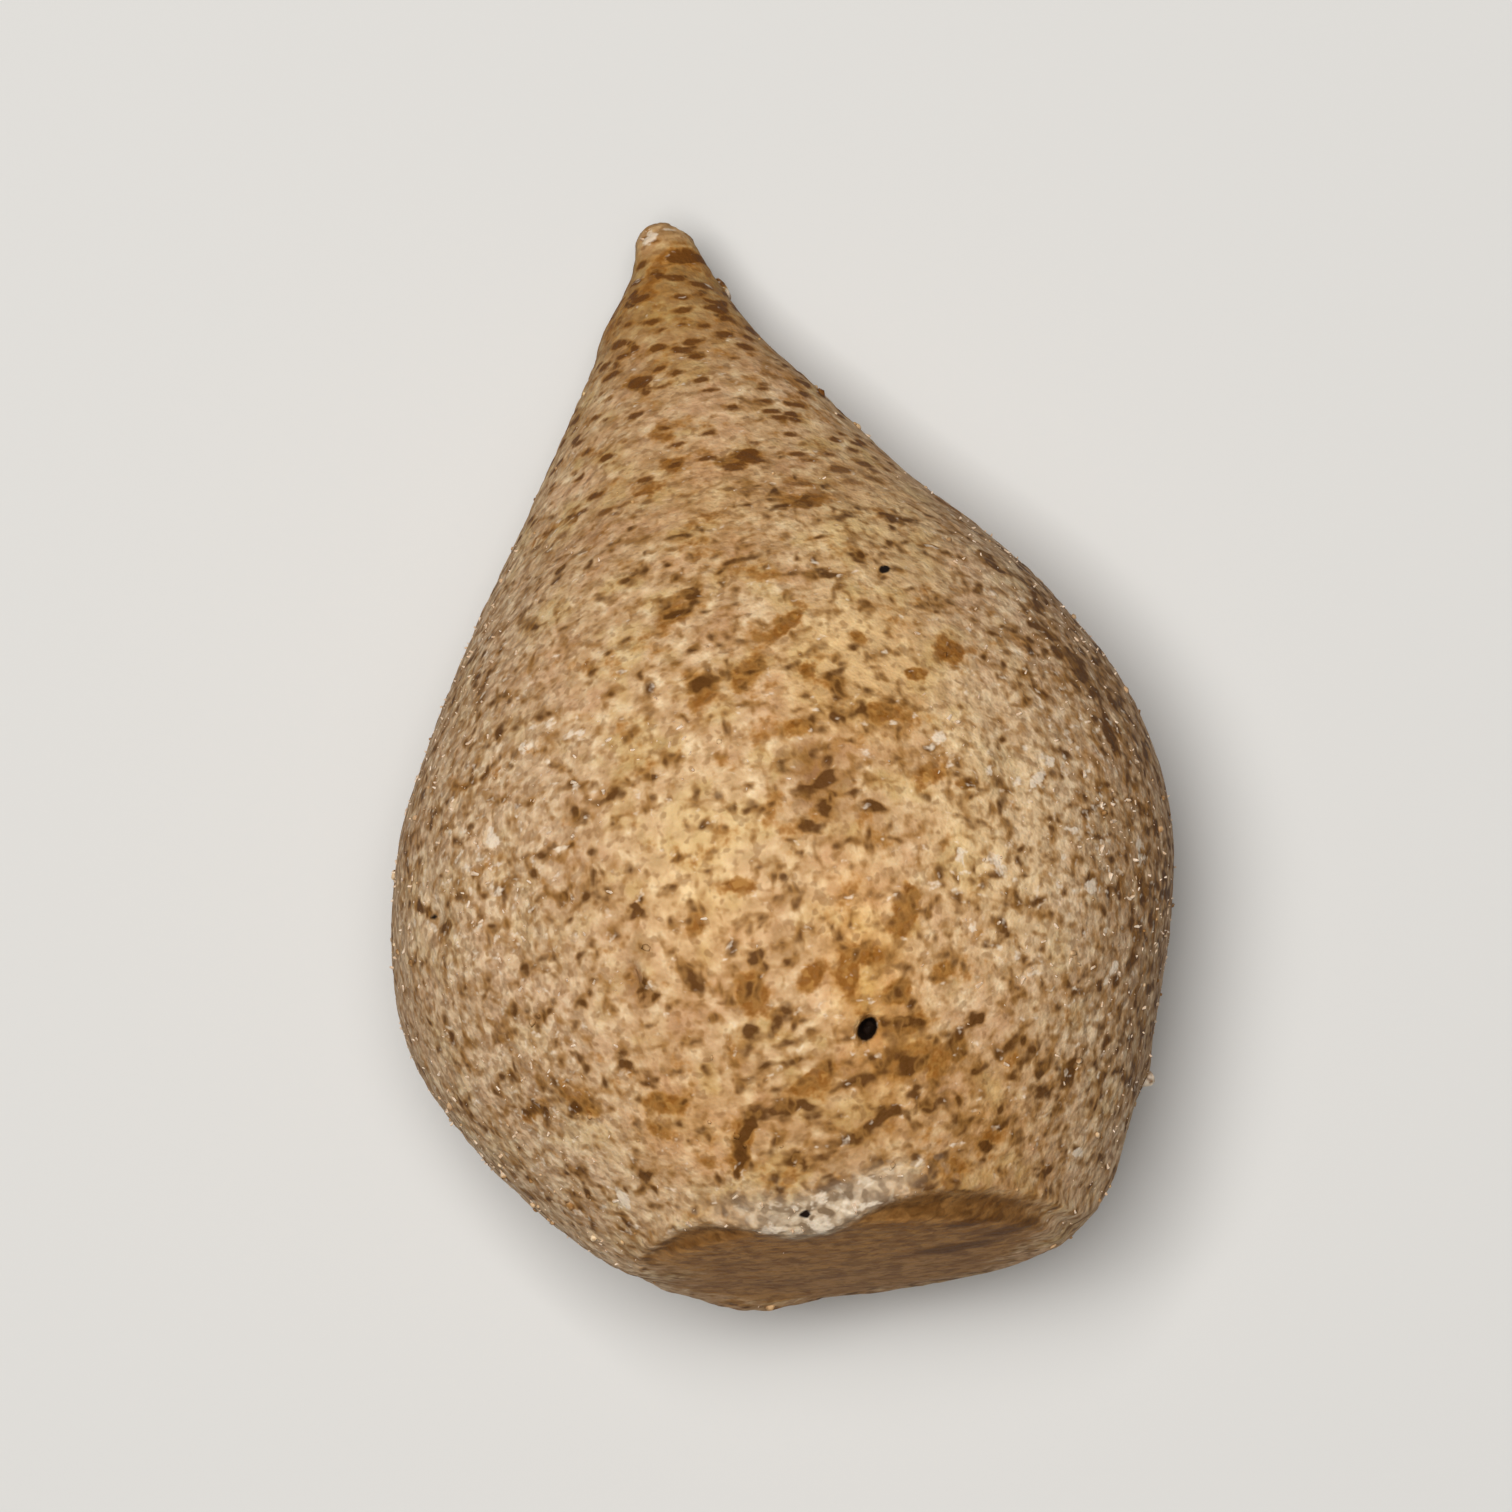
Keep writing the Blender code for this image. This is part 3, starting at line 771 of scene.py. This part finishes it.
def axes_on_skin(draw, chosen, lean):
    """Three unit axes for each place: the third is the skin's normal, leaned over by up to lean."""
    up = facing[chosen] + lean * draw.normal(size=(len(chosen), 3))
    up /= np.linalg.norm(up, axis=1, keepdims=True)
    side = np.cross(up, draw.normal(size=up.shape))
    side /= np.linalg.norm(side, axis=1, keepdims=True)
    return np.stack([side, np.cross(up, side), up], axis=1)


pick_only(dough)
bpy.ops.mesh.primitive_ico_sphere_add(subdivisions=1, radius=1)
crumb_model = bpy.context.object
side_on = bell(facing[:, 2] / 0.45)
edge_on = bell((end_slope - 0.62) / 0.12)
crumb_weights = CRUMBS_ANYWHERE + CRUMBS_ON_SIDES * side_on + CRUMBS_ON_EDGE * edge_on
crumb_weights = crumb_weights * clear_of_floor * (1 - end_face)
draw, chosen = scattered(CRUMB_SEED, CRUMB_COUNT, crumb_weights)
radius = CRUMB_RADIUS[0] + (CRUMB_RADIUS[1] - CRUMB_RADIUS[0]) * draw.random(CRUMB_COUNT) ** 3
stretch = draw.uniform(*CRUMB_STRETCH, (CRUMB_COUNT, 3)) * CRUMB_FLATNESS
axes = axes_on_skin(draw, chosen, CRUMB_LEAN) * (radius[:, None] * stretch)[:, :, None]
centres = surface[chosen] + facing[chosen] * (radius * CRUMB_LIFT)[:, None]
for x, y, z, half_length, half_width, half_height, turn in LARGE_CRUMBS:
    nearest = np.argmin(((surface - (x, y, z)) ** 2).sum(axis=1))
    halves = Matrix.Diagonal((half_length, half_width, half_height)).to_3x3()
    turned = np.array(halves @ Matrix.Rotation(math.radians(turn), 3, "Z").transposed())
    chosen = np.append(chosen, nearest)
    centres = np.vstack([centres, surface[nearest] + facing[nearest] * half_width * LARGE_CRUMB_LIFT])
    axes = np.concatenate([axes, turned[None]])
crumbs = joined_copies("dough_crumbs", crumb_model.data, centres, axes, CRUMB_UNEVENNESS, draw)
bpy.data.objects.remove(crumb_model)
corners_each = len(crumbs.data.vertices) // len(chosen)
crumb_masks = {name: np.repeat(values_of[chosen], corners_each) for name, values_of in masks.items()}
# The large ones are white with ice.
crumb_masks["ice"][-len(LARGE_CRUMBS) * corners_each :] = 1.0
crumb_place = vertex_values(crumbs.data, "co") / MM @ undip.T
paint(crumbs.data, crumb_masks, crumb_place)
crumbs.data.materials.append(paste)
crumbs.data.shade_smooth()
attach(crumbs, "root")


# The frost.
# Ice needles that grew on the skin in the freezer, hexagonal columns with one blunt point. They stand
# thickest on the flanks and on the lip of the flat end, and a few large ones glint on top.
NEEDLE_COUNT = 1800
NEEDLE_LENGTH = (0.10, 0.45)
NEEDLE_SLIMNESS = 0.26
NEEDLE_LEAN = 0.9
NEEDLE_LIFT = 0.02
NEEDLE_UNEVENNESS = 0.15
NEEDLE_SEED = 5
# The blunt point: its width and the height of its shoulder, in shares of the plain column's.
POINT_WIDTH = 0.55
SHOULDER_HEIGHT = 0.7
# How thick the needles stand anywhere and where they glint, how much longer those are, and how much
# of them the flat end lacks.
NEEDLES_ANYWHERE = 0.03
NEEDLES_IN_GLINT = 1.5
GLINT_GROWTH = 0.5
FACE_BARENESS = 0.9
bpy.ops.mesh.primitive_cylinder_add(vertices=6, radius=NEEDLE_SLIMNESS, depth=1.0, end_fill_type="TRIFAN")
needle_model = bpy.context.object
bpy.ops.object.mode_set(mode="EDIT")
bpy.ops.mesh.quads_convert_to_tris()
bpy.ops.object.mode_set(mode="OBJECT")
for vertex in needle_model.data.vertices:
    if vertex.co.z > 0 and vertex.co.xy.length > NEEDLE_SLIMNESS / 2:
        vertex.co.x *= POINT_WIDTH
        vertex.co.y *= POINT_WIDTH
        vertex.co.z *= SHOULDER_HEIGHT
needle_weights = NEEDLES_ANYWHERE + masks["frost"] ** 2 + NEEDLES_IN_GLINT * masks["glint"]
needle_weights = needle_weights * clear_of_floor * (1 - FACE_BARENESS * end_face) * (1 - masks["hole_shade"])
draw, chosen = scattered(NEEDLE_SEED, NEEDLE_COUNT, needle_weights)
length = NEEDLE_LENGTH[0] + (NEEDLE_LENGTH[1] - NEEDLE_LENGTH[0]) * draw.random(NEEDLE_COUNT) ** 3
length *= 1 + GLINT_GROWTH * masks["glint"][chosen]
axes = axes_on_skin(draw, chosen, NEEDLE_LEAN) * length[:, None, None]
centres = surface[chosen] + facing[chosen] * NEEDLE_LIFT
needles = joined_copies("frost_needles", needle_model.data, centres, axes, NEEDLE_UNEVENNESS, draw)
bpy.data.objects.remove(needle_model)

# Freezer ice that grew in the air: clear in places and milky where air is caught in it, every few
# tenths of a millimetre, and tinted by the dough that shows through.
AIR_SPACING = 0.4
ice = bpy.data.materials.new("freezer_ice")
ice.use_nodes = True
ice_tree = ice.node_tree
ice_shader = ice_tree.nodes["Principled BSDF"]
ice_place = add_node(ice_tree, "ShaderNodeTexCoord").outputs["Object"]
air = add_node(
    ice_tree,
    "ShaderNodeTexNoise",
    {},
    {"Vector": ice_place, "Scale": 1 / (AIR_SPACING * MM), "Detail": 1.0, "Roughness": 0.5},
)
milky = add_node(
    ice_tree,
    "ShaderNodeMapRange",
    {"interpolation_type": "SMOOTHSTEP"},
    {"Value": air.outputs[0], "From Min": 0.35, "From Max": 0.65},
)
ice_colour = add_node(
    ice_tree,
    "ShaderNodeMix",
    {"data_type": "RGBA"},
    {0: milky.outputs[0], 6: linear("#dcbc98"), 7: linear("#f3dec5")},
)
ice_tree.links.new(ice_colour.outputs[2], ice_shader.inputs["Base Color"])
ice_shader.inputs["Roughness"].default_value = 0.4
ice_shader.inputs["IOR"].default_value = 1.31
ice_shader.inputs["Transmission Weight"].default_value = 0.3
needles.data.materials.append(ice)
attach(needles, "root")


# The table, the light and the camera.
# A plain pale surface under two broad soft lights from above, the stronger one a little to the left
# of the picture's top. The camera looks straight down from half a metre, turned as in the photograph.
CAMERA_HEIGHT = 0.55
CAMERA_ROLL = math.radians(-10.5)
CAMERA_LENS = 212
CAMERA_SENSOR = 36
WORLD_GLOW = 0.04

deck = bpy.data.materials.new("matt_pale_board")
deck.use_nodes = True
deck_shader = deck.node_tree.nodes["Principled BSDF"]
deck_shader.inputs["Base Color"].default_value = linear("#cbc9c5")
deck_shader.inputs["Roughness"].default_value = 0.9
bpy.ops.mesh.primitive_plane_add(size=4.0, location=(0, 0, 0))
table = bpy.context.object
table.name = "table"
table.data.materials.append(deck)


def add_area_light(name, place, target, size, power):
    """A square soft light at a place, turned towards a target."""
    bpy.ops.object.light_add(type="AREA", location=place)
    lamp = bpy.context.object
    lamp.name = name
    lamp.rotation_euler = (Vector(target) - Vector(place)).to_track_quat("-Z", "Y").to_euler()
    lamp.data.shape = "SQUARE"
    lamp.data.size = size
    lamp.data.energy = power


add_area_light("key", place=(-0.07, 0.08, 0.85), target=(0, 0, 0.02), size=0.30, power=7.6)
add_area_light("overhead", place=(-0.05, 0.0, 1.1), target=(0, 0, 0), size=0.5, power=2.4)

world = bpy.data.worlds.new("studio")
world.use_nodes = True
background = world.node_tree.nodes["Background"]
background.inputs["Color"].default_value = linear("#f2f0ec")
background.inputs["Strength"].default_value = WORLD_GLOW
bpy.context.scene.world = world

bpy.ops.object.camera_add(location=(0.0, 0.0, CAMERA_HEIGHT), rotation=(0, 0, CAMERA_ROLL))
camera = bpy.context.object
camera.data.lens = CAMERA_LENS
camera.data.sensor_width = CAMERA_SENSOR
camera.data.clip_start = 0.01
bpy.context.scene.camera = camera
bpy.context.scene.view_settings.view_transform = "Standard"
